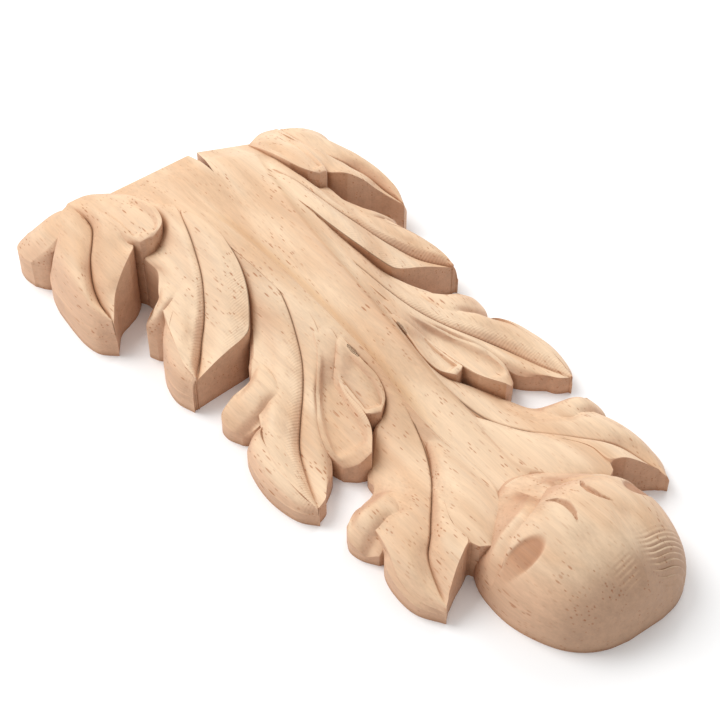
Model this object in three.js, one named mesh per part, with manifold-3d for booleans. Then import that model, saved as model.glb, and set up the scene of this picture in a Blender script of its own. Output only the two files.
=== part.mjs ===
// Carved acanthus leaf bracket, one solid piece of pale hardwood.
// The leaf lies on its flat back (z = 0). X runs across it, and x = 0 is its plane of symmetry.
// +Y points to the wide stem end and -Y to the curled tip. +Z points out of the carved face.
// All lengths are in millimetres.
import * as THREE from 'three';
import Module from 'manifold-3d';

// Driving dimensions
const LEAF_LENGTH = 190;
const BACK_Z = 0;
const NOTCH_DEPTH = 10.7;
const NOTCH_HALF_WIDTH = 1.3;
const STEM_AXIS_Y = 79.5;
const BULB_TIP_Y = -LEAF_LENGTH / 2;
const BULB_HALF_WIDTH = 21.6;
const BULB_CROWN_Z = 19.7;
const BULB_SIDE_Z = 1.5;

// How neighbouring surfaces are joined into one solid
const COLUMN_FOOT_Z = -2;
const CUT_TOP_Z = 40;
const CUT_MARGIN = 4;
const TUCK_REACH = 1.1;
const TUCK_DROP = 1.3;
const LEAST_TUCK_Z = 1;
const EDGE_STEP = 0.25;
const BED_REACH_STEM = 6.8;
const BED_REACH_TIP = 3.4;
const BED_DROP = 4.1;
const LEAST_BED_Z = 2;
const GROOVE_BEND = 1.8;
const GROOVE_BEND_START = 0.12;

// Fineness of the facets
const SHEET_STEPS = 9;
const EAR_STEPS = 5;
const GROOVE_STEPS = 14;
const GROOVE_SHARES = [0.33, 0.67, 1];
const BULB_COLUMNS = 14;

const WOOD_COLOUR = 0xe0b88c;
const WOOD_ROUGHNESS = 0.62;

// Every rail below is a run of hand-set stations, from the leaflet's root to its tip.
// A tuck pair is the share of the first and the last rail, from the root, that joins a neighbour.

// Midrib groove: its floor on the axis and the crest where the leaflets start
const GROOVE_FLOOR = [
  [0, 79.5, 25.4], [0, 74, 25.5], [0, 66, 24.2], [0, 56, 22.2], [0, 45, 20.8], [0, 32, 19.4],
  [0, 18, 17.8], [0, 4, 15.6], [0, -10, 13], [0, -24, 9.9], [0, -38, 8.3], [0, -50, 7.6],
  [0, -64, 7.6],
];
const GROOVE_CREST = [
  [22.8, 88.3, 16], [18.3, 77.5, 20], [14.5, 66.6, 22.5], [11.5, 56, 23.7], [9.3, 45, 23.4],
  [7.8, 32, 22.1], [6.7, 18, 20.5], [5.9, 4, 18.2], [5.2, -10, 15.4], [5.3, -24, 11.3],
  [5, -38, 9.4], [3.8, -49, 8.3], [6.5, -62, 7.8],
];

// First leaflet: ear, outer half, inner half, and the bud beside the groove
const BUD = {
  rails: [
    [[21.6, 86.6, 17], [20.6, 79, 20], [20.1, 71, 22.3],
      [20.4, 63, 23.5], [22.6, 58.6, 23], [26.5, 58.9, 20.6]],
    [[28, 90, 17], [26.8, 81, 20.2], [26, 73, 22.4],
      [25.7, 66, 23], [26, 61.8, 22], [28.4, 59.6, 19.6]],
    [[33.6, 90, 16.6], [32.8, 82, 18.4], [31.6, 74, 20.1],
      [30.8, 68, 20.6], [30.6, 63.5, 19.7], [29.8, 60, 18.5]],
  ],
  tuck: [0, 1],
};
const FIRST_CREASE = [
  [34, 89, 16.8], [33.6, 81, 17.6], [34.1, 74.7, 17.2], [36.8, 69.5, 16.5], [39.6, 65.2, 15.3],
  [41.5, 61.6, 13.5], [43.2, 57.2, 12.2], [43.9, 53, 10.8], [43.9, 47.5, 10.2],
];
const FIRST_INNER = {
  rails: [
    FIRST_CREASE,
    [[33, 88, 17.2], [32, 79, 19.4], [32.6, 72, 19.8], [34.3, 67, 19.4], [35.4, 62, 18.4],
      [37.9, 58.5, 17.2], [40.5, 55, 15.4], [42.2, 52, 13], [43.8, 46.6, 10.6]],
    [[32, 87, 17.6], [31, 78, 20], [30.8, 70.5, 20.5], [30.6, 65, 20.2], [29.9, 60, 18.7],
      [33.3, 55.4, 19.2], [37.2, 52.7, 17], [40.4, 51, 13.8], [43.6, 45.6, 10.8]],
  ],
  tuck: [1, 0],
};
const FIRST_OUTER = {
  rails: [
    FIRST_CREASE,
    [[37.5, 86, 17.4], [37.4, 79.5, 18.6], [39.4, 75.2, 17.9], [41, 70, 17.1], [43, 65, 16.1],
      [44.6, 60.6, 15], [45.6, 56.2, 13.9], [45.8, 52.2, 12.6], [44.6, 46, 11]],
    [[41, 84, 16], [42, 78.5, 16], [45, 74.6, 14], [45.7, 69, 14.7], [46.3, 64, 14.6],
      [46.9, 59, 14], [47.1, 54.6, 13.2], [46.9, 50, 12.1], [45, 44.8, 10.6]],
    [[44, 82, 8], [46, 78.5, 6], [47.4, 75.5, 5.5], [48.9, 69, 6.4], [49.4, 63, 6.6],
      [49.7, 57, 6.4], [49.6, 52, 6], [48.4, 47, 5.6], [45, 43.6, 5]],
  ],
  tuck: [1, 0],
};
const FIRST_EAR = {
  rails: [
    [[33.4, 88, 15.7], [36.4, 91.9, 13.8], [40.6, 92.9, 11.2], [44.4, 95, 8.4]],
    [[33.8, 85, 16.7], [38, 87.6, 16.4], [43.3, 89.8, 13], [48.6, 92.5, 7.6]],
    [[34, 81, 16.9], [38.8, 83, 17.4], [44.6, 84, 14.2], [49.8, 87.5, 7.6]],
    [[34.6, 78.5, 16.5], [39.4, 78, 17.4], [45, 78.8, 13.2], [49.2, 82.6, 8]],
  ],
  tuck: [0, 1],
  steps: EAR_STEPS,
};

// Second leaflet
const SECOND_CREASE = [
  [14.8, 66, 22.7], [16.1, 59.3, 23.3], [18, 51.5, 22.1], [20, 44.8, 20], [22.4, 38.4, 18],
  [25.1, 33.1, 15.4], [28.2, 28.3, 12.7], [31.6, 24.1, 10], [35.5, 18.8, 8.3], [38.4, 14.8, 8.6],
];
const SECOND_OUTER = {
  rails: [
    SECOND_CREASE,
    [[17.4, 71, 21.7], [18.5, 61.5, 22.9], [21.2, 53.8, 21.2], [24.4, 47.8, 19], [27, 42.5, 17.2],
      [29.8, 36.9, 15.3], [32.6, 30.5, 13.5], [35, 26.2, 12.2], [37.2, 19.9, 10.6], [38.6, 14.7, 9.2]],
    [[19.6, 77.5, 20.2], [20.2, 64, 21.6], [24.4, 54.6, 19], [28.6, 52, 15.7], [29.4, 47.6, 15.7],
      [32.6, 42.4, 13.6], [36, 31.6, 12.6], [37.7, 25.6, 12], [39, 20, 10.8], [38.8, 14.6, 9.8]],
  ],
  tuck: [1, 0.32],
};
const SECOND_FLANK = {
  rails: [
    [[31, 37, 14.6], [36, 31.6, 12.6], [37.7, 25.6, 12], [39, 20, 10.8], [38.6, 14.9, 9.6]],
    [[34, 37, 11.6], [38, 31.5, 9.6], [39.8, 25.6, 9.4], [40.8, 19.5, 8.4], [39.8, 14.7, 7.6]],
    [[35, 36.4, 5], [38.8, 31, 4.6], [41, 25.6, 4.6], [41.8, 19.2, 4.6], [40.3, 14.2, 4.6]],
  ],
  tuck: [1, 0],
};
const SECOND_EAR = {
  rails: [
    [[27, 48, 15.1], [30.6, 44.6, 14.7], [33.4, 41.8, 13.2], [36.8, 39.5, 12.4]],
    [[27, 42, 15.9], [31.5, 40, 15.2], [35.4, 38.4, 12.8], [38.6, 38.8, 9.4]],
    [[27, 38, 15.5], [31.4, 36, 14.2], [34.8, 34.8, 10.4], [37.6, 35.8, 6.6]],
  ],
  tuck: [0, 1],
  steps: EAR_STEPS,
};
const SECOND_INNER = {
  rails: [
    [[14.6, 62, 23.2], [16.8, 56, 23], [18.9, 48.5, 21.2], [21, 42, 19.1], [24, 35.5, 16.5],
      [28.2, 28.3, 12.7], [33.2, 21.8, 9.3], [37.6, 16.2, 8.2]],
    [[13, 58, 23.6], [14.9, 49, 23.7], [16.4, 42, 22.6], [18.2, 36.6, 20.9], [20.6, 31.2, 18.4],
      [23.6, 26.2, 15.6], [27.4, 20.6, 12.9], [31, 16.2, 11.3]],
    [[11.6, 54, 23.7], [12.6, 43, 23.5], [13.5, 36.4, 22.3], [15.2, 30, 20.4], [17, 25.6, 18.3],
      [19.4, 21.4, 15.9], [22, 18, 13.8], [24.5, 17.2, 12.9]],
  ],
  tuck: [1, 0],
};

// Third leaflet with its two small lobes beside the groove
const THIRD_CREASE = [
  [9.2, 32, 21.6], [10.3, 23.4, 20], [11.9, 15.9, 17.8], [14.2, 8.8, 14.9], [17.1, 2.1, 12.2],
  [21.2, -4.1, 9.6], [25.9, -10, 7.4], [30.3, -16.1, 5.5], [34, -25, 4.6], [36.4, -31.6, 4.7],
];
const THIRD_OUTER = {
  rails: [
    THIRD_CREASE,
    [[11, 36.4, 22.4], [12.4, 28, 20], [14.6, 20.4, 17.5], [17.2, 14, 14.7], [20.4, 8.2, 12.4],
      [25, 2.2, 10.4], [30.4, -5.6, 9.5], [34.2, -13.6, 8], [36.6, -23.6, 6.4], [36.8, -32, 5]],
    [[12.4, 41, 22.8], [14, 32.6, 19.8], [16.6, 25, 16.4], [19.8, 19.4, 13], [23.4, 13.6, 10.6],
      [27.4, 8.4, 9], [33, -4, 7.2], [37, -13, 7.5], [38.3, -23, 6.6], [36.9, -32.2, 5.2]],
  ],
  tuck: [1, 0.5],
};
const THIRD_FLANK = {
  rails: [
    [[31, -4.6, 8.4], [35.6, -8, 7.6], [37.4, -15.8, 7.4],
      [38.3, -23, 6.6], [37.4, -29.6, 5.6], [35.6, -32.4, 5]],
    [[33.6, -3.6, 5.6], [38, -8, 5.8], [40.2, -16, 5.6],
      [40.6, -23, 5.2], [39, -29.8, 4.4], [36, -32.8, 4.2]],
    [[35, -3.4, 3], [39.2, -8, 3.2], [41.4, -16.2, 3.2],
      [41.5, -23.4, 3.2], [39.8, -30, 3.2], [36.2, -33, 3.2]],
  ],
  tuck: [1, 0],
};
const THIRD_EAR = {
  rails: [
    [[22.5, 14.4, 9.5], [26, 9.4, 9.3], [29, 7.2, 8.6], [34, 6.6, 7.2]],
    [[23, 9, 10.3], [27.6, 5, 10.4], [32.4, 3.4, 8.8], [38, 5, 4.8]],
    [[23.5, 4, 10.3], [28, 0.4, 10.2], [33, -1, 7.8], [38.6, 1.4, 3.6]],
    [[24, -1, 9.3], [28.6, -3.6, 9.4], [33, -4.2, 6.8], [37, -2.4, 3.6]],
  ],
  tuck: [0, 1],
  steps: EAR_STEPS,
};
const THIRD_INNER = {
  rails: [
    [[11.9, 15.9, 17.8], [14.2, 8.8, 14.9], [17.1, 2.1, 12.2], [21.2, -4.1, 9.6], [25.9, -10, 7.4],
      [30.3, -16.1, 5.5], [34, -25, 4.6], [36.2, -31.4, 4.7]],
    [[10.6, 12, 17.8], [12.6, 5.4, 15.2], [15.7, -0.2, 12.8], [19.6, -6, 10.6], [23.6, -12.2, 9],
      [27.2, -19.4, 7], [30.8, -26.6, 5.6], [33.8, -31.4, 5.2]],
    [[9.6, 8, 17.4], [11.6, 2, 15], [14.8, -2.4, 12.2], [18.8, -6.4, 9.7], [22.4, -12.4, 8.4],
      [25, -20, 6], [28, -25.4, 4.4], [32.6, -29.4, 5.3]],
  ],
  tuck: [1, 0.6],
};
const SPOON = {
  rails: [
    [[10.4, 8, 17.2], [13.4, 1, 14.2], [17.2, -4, 11.4], [20.5, -8.2, 9.4],
      [24.2, -14.8, 8.3], [26, -21, 6.2], [25, -25.6, 4.2]],
    [[8.8, 7, 17.6], [11, -1, 14.4], [14.4, -6, 11.1], [17, -11, 9.5],
      [19.4, -17, 8.4], [21, -22.4, 7.6], [22.6, -27.6, 5.8]],
    [[7.6, 5, 18], [8.8, -2, 15], [12.4, -6.4, 11.4], [13.5, -11, 10.4],
      [14.2, -18, 10.4], [15.8, -23.4, 9.7], [19.6, -28.8, 8.8]],
  ],
  tuck: [0.55, 0.65],
};
const EYE_LOBE = {
  rails: [
    [[6.9, 2, 16.9], [7.1, -3.6, 15.9], [6.9, -8.3, 14.8],
      [6.5, -13.3, 13.4], [7.9, -18, 11.4], [11, -20.8, 10.3]],
    [[8.8, 0, 16.4], [10, -5, 14.6], [10.2, -9.4, 13.2],
      [10.3, -13.6, 12.2], [11, -17.4, 11.2], [12.6, -20.2, 10.4]],
    [[10.6, -2, 14.6], [13.1, -6.2, 11], [13.4, -9.8, 10.4],
      [13.7, -13.4, 10.2], [13.9, -16.6, 10.2], [14.1, -19.2, 10.3]],
  ],
  tuck: [0, 1],
};

// Fourth leaflet and the lobe that meets the curled tip
const FOURTH_CREASE = [
  [5.3, -18, 12.6], [5.7, -23, 11.1], [6.8, -28, 9.2], [9.2, -35, 7.5], [13.4, -42.3, 7.4],
  [17, -46.9, 7.6], [20.7, -51.3, 7.9], [24.2, -55.5, 8],
    [27.3, -58.8, 7], [29, -64, 5.6], [29.8, -69, 4.8],
];
const FOURTH_OUTER = {
  rails: [
    FOURTH_CREASE,
    [[5.6, -14.4, 13.6], [7, -20.6, 10.9], [10, -25.8, 8.6], [14.4, -31.6, 6.9], [18.6, -38.6, 6.8],
      [23.2, -43.6, 8], [26.4, -48.8, 9], [29.2, -54, 8.8],
        [31.6, -58.6, 7.6], [32.2, -64, 5.6], [31, -69.4, 4.2]],
    [[6.2, -12, 13.4], [8.3, -19.2, 10], [13.2, -22.4, 7], [19.8, -29.4, 3.8], [23.4, -34.8, 3.2],
      [29.6, -38.2, 4.4], [31.6, -47.6, 6.6], [33, -53, 6.8],
        [34.6, -58.4, 5.2], [34.4, -64, 3.8], [31.6, -69.8, 3.2]],
  ],
  tuck: [1, 0.32],
};
const FOURTH_FLANK = {
  rails: [
    [[29.6, -49.4, 8.2], [32.6, -53.2, 7], [34, -58.4, 5.6], [33.8, -64, 4.4], [31, -69, 3.8]],
    [[31.6, -49.8, 4.6], [34.2, -53.4, 4.6], [35.4, -58.4, 3.8], [35, -64.8, 2.8], [31.6, -70.2, 2.4]],
  ],
  tuck: [1, 0],
};
const FOURTH_EAR = {
  rails: [
    [[22.4, -34, 2.3], [27, -37, 4], [30.8, -38, 4.6], [34.8, -40.6, 4.8]],
    [[21.6, -38.6, 5.9], [27, -40.8, 8], [31.4, -41.8, 7.6], [36, -43.4, 3.6]],
    [[22.4, -42.6, 6.7], [27, -45, 8.6], [31.4, -46, 7], [35.4, -46.8, 3.2]],
    [[24, -46.6, 6.9], [27.6, -48.6, 8.6], [30.6, -49.6, 6.2], [33.2, -50.2, 3.2]],
  ],
  tuck: [0, 1],
  steps: EAR_STEPS,
};
const FOURTH_INNER = {
  rails: [
    [[13.4, -42.3, 7.4], [17, -46.9, 7.6], [20.7, -51.3, 7.9], [24.2, -55.5, 8], [27.3, -58.8, 7],
      [29, -64, 5.6], [30, -68.6, 5.2]],
    [[13.6, -44.6, 8.2], [17.2, -49.4, 9.2], [20.4, -54.6, 10], [22.6, -58.6, 10.6], [25, -61.8, 9.8],
      [27, -65, 8], [28.9, -68, 6.6]],
    [[14, -46.4, 8.6], [17.4, -52, 9.8], [19.6, -57, 10.4], [19.9, -62.2, 10.5], [22.6, -64.3, 11],
      [25.6, -65.7, 9.3], [28.8, -67.2, 7.2]],
  ],
  tuck: [1, 0.5],
};
const TIP_LOBE = {
  rails: [
    [[5, -32, 9.9], [4.2, -42, 9], [4, -50, 8.6], [5.9, -55.2, 9.2],
      [9.2, -60.4, 9.6], [13.4, -65, 9.6], [16, -66.4, 9.6]],
    [[7.4, -33, 9.2], [8.2, -40.4, 9.8], [9.4, -47.6, 10.3],
      [11.2, -54, 10.9], [13.4, -59, 11], [16, -63, 10.5], [17.4, -65.6, 9.9]],
    [[10, -37.4, 7.4], [13.4, -42.6, 7.6], [16.6, -49.6, 9.2],
      [19, -55.6, 10.2], [20, -59.6, 10.2], [19.8, -62.4, 10], [18.8, -64.8, 9.8]],
  ],
  tuck: [1, 0.7],
};

// Curled tip: a dome of half-round sections, each [half width, y, crown height]
const BULB_STATIONS = [
  [6, -52, 7.4], [12.4, -55.5, 9.9], [17.2, -60, 11.9], [19.2, -64, 14.7], [20.8, -67.6, 17.6],
  [21.6, -72, 19.4], [BULB_HALF_WIDTH, -77.6, BULB_CROWN_Z], [20.2, -83, 18.7], [17.5, -88.4, 16.6],
  [14.2, -91.8, 13.8], [9.9, -94, 10], [4.8, BULB_TIP_Y, 5],
];

// A smooth curve through hand-set stations.
function smoothCurve(points) {
  const vectors = points.map((p) => (p.isVector3 ? p : new THREE.Vector3(...p)));
  return new THREE.CatmullRomCurve3(vectors, false, 'centripetal');
}

// Grid of points over a set of matching rails, smooth along them and across them.
function surfaceGrid(rails, steps, across) {
  const curves = rails.map(smoothCurve);
  const cols = (rails.length - 1) * across;
  const grid = [];
  for (let i = 0; i <= steps; i += 1) {
    const section = smoothCurve(curves.map((c) => c.getPoint(i / steps)));
    const row = [];
    for (let j = 0; j <= cols; j += 1) {
      row.push(section.getPoint(j / cols));
    }
    grid.push(row);
  }
  return grid;
}

// A point carried a little past an edge and downwards, so neighbouring surfaces interlock.
function tuckedPoint(edge, inner) {
  const out = new THREE.Vector3(edge.x - inner.x, edge.y - inner.y, 0).normalize();
  return new THREE.Vector3(
    edge.x + out.x * TUCK_REACH,
    edge.y + out.y * TUCK_REACH,
    Math.max(edge.z - TUCK_DROP, LEAST_TUCK_Z),
  );
}

// Each side is tucked along the given share of its length, counted from the leaflet's root.
function addTucks(grid, tuck) {
  return grid.map((row, i) => {
    const t = i / (grid.length - 1);
    const last = row.length - 1;
    const widened = [...row];
    if (tuck[0] > 0) {
      if (t <= tuck[0]) widened.unshift(tuckedPoint(row[0], row[1]));
      else widened.splice(1, 0, row[0].clone().lerp(row[1], EDGE_STEP));
    }
    if (tuck[1] > 0) {
      if (t <= tuck[1]) widened.push(tuckedPoint(row[last], row[last - 1]));
      else widened.splice(-1, 0, row[last].clone().lerp(row[last - 1], EDGE_STEP));
    }
    return widened;
  });
}

// Closed solid below a surface grid. It reaches past the back, which is then cut flat.
function columnMesh(grid) {
  const rows = grid.length;
  const cols = grid[0].length;
  const vertices = [];
  const triangles = [];
  grid.forEach((row) => row.forEach((p) => vertices.push(p.x, p.y, p.z)));
  grid.forEach((row) => row.forEach((p) => vertices.push(p.x, p.y, COLUMN_FOOT_Z)));
  const top = (i, j) => i * cols + j;
  const base = (i, j) => rows * cols + i * cols + j;
  const quad = (a, b, c, d) => triangles.push(a, b, c, a, c, d);
  for (let i = 0; i < rows - 1; i += 1) {
    for (let j = 0; j < cols - 1; j += 1) {
      quad(top(i, j), top(i + 1, j), top(i + 1, j + 1), top(i, j + 1));
      quad(base(i, j), base(i, j + 1), base(i + 1, j + 1), base(i + 1, j));
    }
    quad(top(i, 0), base(i, 0), base(i + 1, 0), top(i + 1, 0));
    const e = cols - 1;
    quad(top(i, e), top(i + 1, e), base(i + 1, e), base(i, e));
  }
  for (let j = 0; j < cols - 1; j += 1) {
    quad(top(0, j), top(0, j + 1), base(0, j + 1), base(0, j));
    const e = rows - 1;
    quad(top(e, j), base(e, j), base(e, j + 1), top(e, j + 1));
  }
  return { vertices, triangles };
}

function signedVolume({ vertices, triangles }) {
  const at = (k) => new THREE.Vector3(vertices[3 * k], vertices[3 * k + 1], vertices[3 * k + 2]);
  let sum = 0;
  for (let t = 0; t < triangles.length; t += 3) {
    sum += at(triangles[t]).dot(at(triangles[t + 1]).cross(at(triangles[t + 2])));
  }
  return sum / 6;
}

const wasm = await Module();
wasm.setup();

function solidOf(mesh) {
  const flipped = signedVolume(mesh) < 0;
  const triangles = [];
  for (let t = 0; t < mesh.triangles.length; t += 3) {
    const [a, b, c] = mesh.triangles.slice(t, t + 3);
    triangles.push(a, flipped ? c : b, flipped ? b : c);
  }
  return new wasm.Manifold(new wasm.Mesh({
    numProp: 3,
    vertProperties: new Float32Array(mesh.vertices),
    triVerts: new Uint32Array(triangles),
  }));
}

function mirroredRails(rails) {
  return rails.map((rail) => rail.map(([x, y, z]) => [-x, y, z]));
}

function sheetSolid(rails, tuck, steps, across) {
  return solidOf(columnMesh(addTucks(surfaceGrid(rails, steps, across), tuck)));
}

// The groove runs from its floor up to a crest, and a bed falls away outside the crest.
function grooveSolid() {
  const floor = smoothCurve(GROOVE_FLOOR);
  const crest = smoothCurve(GROOVE_CREST);
  const grid = [];
  for (let i = 0; i <= GROOVE_STEPS; i += 1) {
    const t = i / GROOVE_STEPS;
    const low = floor.getPoint(t);
    const high = crest.getPoint(t);
    const bend = t < GROOVE_BEND_START ? 1 : GROOVE_BEND;
    const side = (sign, s) => new THREE.Vector3(
      sign * high.x * s,
      low.y + (high.y - low.y) * s,
      low.z + (high.z - low.z) * s ** bend,
    );
    const reach = THREE.MathUtils.lerp(BED_REACH_STEM, BED_REACH_TIP, t);
    const bed = (sign) => new THREE.Vector3(
      sign * (high.x + reach),
      high.y,
      Math.max(high.z - BED_DROP, LEAST_BED_Z),
    );
    const row = [bed(-1)];
    GROOVE_SHARES.toReversed().forEach((s) => row.push(side(-1, s)));
    row.push(low.clone());
    GROOVE_SHARES.forEach((s) => row.push(side(1, s)));
    row.push(bed(1));
    grid.push(row);
  }
  return solidOf(columnMesh(grid));
}

function bulbSolid() {
  const profile = smoothCurve(BULB_STATIONS);
  const rows = BULB_STATIONS.length - 1;
  const grid = [];
  for (let i = 0; i <= rows; i += 1) {
    const p = profile.getPoint(i / rows);
    const row = [];
    for (let j = 0; j <= BULB_COLUMNS; j += 1) {
      const angle = Math.PI * (j / BULB_COLUMNS - 0.5);
      const z = BULB_SIDE_Z + (p.z - BULB_SIDE_Z) * Math.cos(angle);
      row.push(new THREE.Vector3(p.x * Math.sin(angle), p.y, z));
    }
    grid.push(row);
  }
  return solidOf(columnMesh(grid));
}

// Upright prism over a plan outline given in order around it.
function prismSolid(outline, zLow, zHigh) {
  const count = outline.length;
  const vertices = [];
  [zLow, zHigh].forEach((z) => outline.forEach(([x, y]) => vertices.push(x, y, z)));
  const triangles = [];
  for (let k = 0; k < count; k += 1) {
    const next = (k + 1) % count;
    triangles.push(k, next, count + next, k, count + next, count + k);
    if (k > 0 && k < count - 1) {
      triangles.push(0, k + 1, k);
      triangles.push(count, count + k, count + k + 1);
    }
  }
  return solidOf({ vertices, triangles });
}

function notchSolid() {
  const yEnd = STEM_AXIS_Y + CUT_MARGIN;
  const yTip = STEM_AXIS_Y - NOTCH_DEPTH;
  const w = NOTCH_HALF_WIDTH * (yEnd - yTip) / NOTCH_DEPTH;
  return prismSolid([[-w, yEnd], [0, yTip], [w, yEnd]], COLUMN_FOOT_Z - CUT_MARGIN, CUT_TOP_Z);
}

// Everything above the flat back.
function aboveBackSolid() {
  const r = LEAF_LENGTH;
  return prismSolid([[-r, -r], [r, -r], [r, r], [-r, r]], BACK_Z, CUT_TOP_Z);
}

const SIDE_SHEETS = [
  BUD, FIRST_INNER, FIRST_OUTER, FIRST_EAR,
  SECOND_OUTER, SECOND_FLANK, SECOND_EAR, SECOND_INNER,
  THIRD_OUTER, THIRD_FLANK, THIRD_EAR, THIRD_INNER, SPOON, EYE_LOBE,
  FOURTH_OUTER, FOURTH_FLANK, FOURTH_EAR, FOURTH_INNER, TIP_LOBE,
];

function carvedLeaf() {
  let body = grooveSolid();
  SIDE_SHEETS.forEach(({ rails, tuck, steps = SHEET_STEPS }) => {
    const across = rails.length > 3 ? 1 : 2;
    const right = sheetSolid(rails, tuck, steps, across);
    const left = sheetSolid(mirroredRails(rails), tuck, steps, across);
    body = body.add(right).add(left);
  });
  body = body.add(bulbSolid());
  return body.subtract(notchSolid()).intersect(aboveBackSolid());
}

function toGeometry(solid) {
  const mesh = solid.getMesh();
  const positions = new Float32Array(mesh.vertProperties);
  const geometry = new THREE.BufferGeometry();
  geometry.setAttribute('position', new THREE.BufferAttribute(positions, 3));
  geometry.setIndex(new THREE.BufferAttribute(new Uint32Array(mesh.triVerts), 1));
  geometry.computeVertexNormals();
  return geometry;
}

const leaf = new THREE.Mesh(
  toGeometry(carvedLeaf()),
  new THREE.MeshStandardMaterial({ color: WOOD_COLOUR, roughness: WOOD_ROUGHNESS, metalness: 0 }),
);
leaf.name = 'acanthus_leaf';

const part = new THREE.Group();
part.add(leaf);

export default part;
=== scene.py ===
# Carved acanthus leaf of bare rubberwood, lying on its flat back on a pale floor.
# The rails are in millimetres. They began as the solid's, and about half of them were then moved
# in places, by up to 4.8 mm, to follow the photograph more closely. They are sampled finely here.
import math

import bmesh
import bpy
import numpy as np
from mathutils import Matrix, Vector


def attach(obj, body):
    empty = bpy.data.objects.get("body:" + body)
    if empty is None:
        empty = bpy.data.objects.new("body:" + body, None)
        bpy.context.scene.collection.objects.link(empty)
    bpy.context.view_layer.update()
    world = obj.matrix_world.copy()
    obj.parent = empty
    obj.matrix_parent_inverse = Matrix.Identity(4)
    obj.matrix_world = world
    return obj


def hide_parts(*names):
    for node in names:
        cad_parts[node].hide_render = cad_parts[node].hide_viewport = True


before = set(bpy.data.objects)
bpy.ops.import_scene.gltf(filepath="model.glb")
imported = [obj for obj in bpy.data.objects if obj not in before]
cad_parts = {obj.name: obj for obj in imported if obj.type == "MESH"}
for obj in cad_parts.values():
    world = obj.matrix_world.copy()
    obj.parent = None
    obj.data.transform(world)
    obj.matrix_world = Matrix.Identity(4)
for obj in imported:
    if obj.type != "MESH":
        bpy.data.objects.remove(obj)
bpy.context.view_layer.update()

MM = 0.001

# Where the photograph was taken from
IMAGE_SIZE = 720
FOCAL_PIXELS = 1300
SENSOR_WIDTH = 36
CAMERA_AZIMUTH = -36
CAMERA_ELEVATION = 39.98
CAMERA_DISTANCE = 325 * MM
CAMERA_TARGET = Vector((3.02, 6.75, 0)) * MM
CLIP_START = 0.01

# Fineness of the mesh
STEP_ALONG = 0.8
STEP_ACROSS = 0.62
EDGE_CROWDING = 0.1
ROUGH_POINTS = 40
LEAST_GAP = 1e-4
LEAST_LENGTH = 1e-9
GROOVE_LENGTH_SHARE = 0.8
GROOVE_COARSENESS = 1.5
BULB_STEP_ALONG = 0.2
BULB_STEP_ACROSS = 0.5
BULB_CROWDING = 0.08
BULB_OVERSAMPLING = 4

# How far the closed solids and the cutting shapes reach past what they make
FOOT_Z = -2
CUT_TOP_Z = 40
CUT_MARGIN = 4

# How neighbouring sheets interlock, and how far a free edge is eased
TUCK_REACH = 1.1
TUCK_DROP = 1.3
TUCK_FADE = 0.05
TIP_FADE = (0.9, 0.99)
ROOT_SINK = 0.5
ROOT_SHARE = 0.07
EASED_SHARE = 0.12
LEAST_TUCK_Z = 1

# Bed beside the groove: how far it reaches outwards, and its drop below the crest at shares of the length
BED_REACH_STEM = 4.5
BED_REACH_TIP = 3.4
BED_DROPS = [(0, 0.9), (0.42, 0.9), (0.5, 1.7), (0.58, 2.0), (0.63, 3.2), (0.67, 4.1), (1, 4.1)]
LEAST_BED_Z = 2

# How much flatter the groove is along its middle than near its crest
GROOVE_BEND = 2.3
GROOVE_BEND_SETS_IN = (0.05, 0.16)

# Overall sizes
LEAF_LENGTH = 190
NOTCH_DEPTH = 10.7
NOTCH_HALF_WIDTH = 1.3
STEM_AXIS_Y = 79.5
BULB_TIP_Y = -LEAF_LENGTH / 2
BULB_HALF_WIDTH = 21.6
BULB_CROWN_Z = 19.7
BULB_SIDE_Z = 1.5

# Midrib groove
GROOVE_FLOOR = [
    (0, 79.5, 25.4), (0, 74, 25.5), (0, 66, 24.2), (0, 56, 22.2), (0, 45, 20.8), (0, 32, 19.4),
    (0, 18, 17.8), (0, 4, 15.6), (0, -10, 13), (0, -24, 9.9), (0, -38, 8.3), (0, -50, 7.6),
    (0, -64, 7.6),
]
GROOVE_CREST = [
    (22.8, 88.3, 16), (18.3, 77.5, 20), (14.5, 66.6, 22.5), (11.5, 56, 23.7), (9.3, 45, 23.4),
    (7.8, 32, 22.1), (6.7, 18, 20.5), (5.9, 4, 18.2), (5.2, -10, 15.4), (5.3, -24, 11.3),
    (5, -38, 9.4), (3.8, -49, 8.3), (6.5, -62, 7.8),
]

# A sheet has rails, each from its root to its tip, and tuck says how each side meets its neighbour:
# 0 is only eased, 1 is tucked under up to the tip, and a share between them is tucked up to there.
# A dish and a roll have a height in mm, and a valley has a path, a depth and a width.

# First leaflet: ear, outer half, inner half, and the bud beside the groove
BUD = dict(
    rails=[
        [(21.6, 86.6, 17), (20.6, 79, 20), (20.1, 71, 22.3),
         (20.4, 63, 23.5), (22.2, 58, 23), (25.6, 56.4, 21.2)],
        [(28, 90, 17), (26.8, 81, 20.2), (26, 73, 22.4),
         (25.7, 66, 23), (26, 61, 22.4), (27.6, 56.8, 21.2)],
        [(33.6, 90, 16.6), (32.8, 82, 18.4), (31.6, 74, 20.1),
         (30.8, 68, 20.6), (30.4, 63, 20.2), (28.8, 57.6, 20.2)],
    ],
    tuck=(0, 1),
    dish=1.1,
)
FIRST_CREASE = [
    (34, 89, 16.8), (33.6, 81, 17.6), (34.1, 74.7, 17.2), (36.8, 69.5, 16.5), (39.6, 65.2, 15.3),
    (41.5, 61.6, 13.5), (43.2, 57.2, 12.2), (44.3, 52, 10.9), (44.8, 45, 10.4),
]
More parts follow.
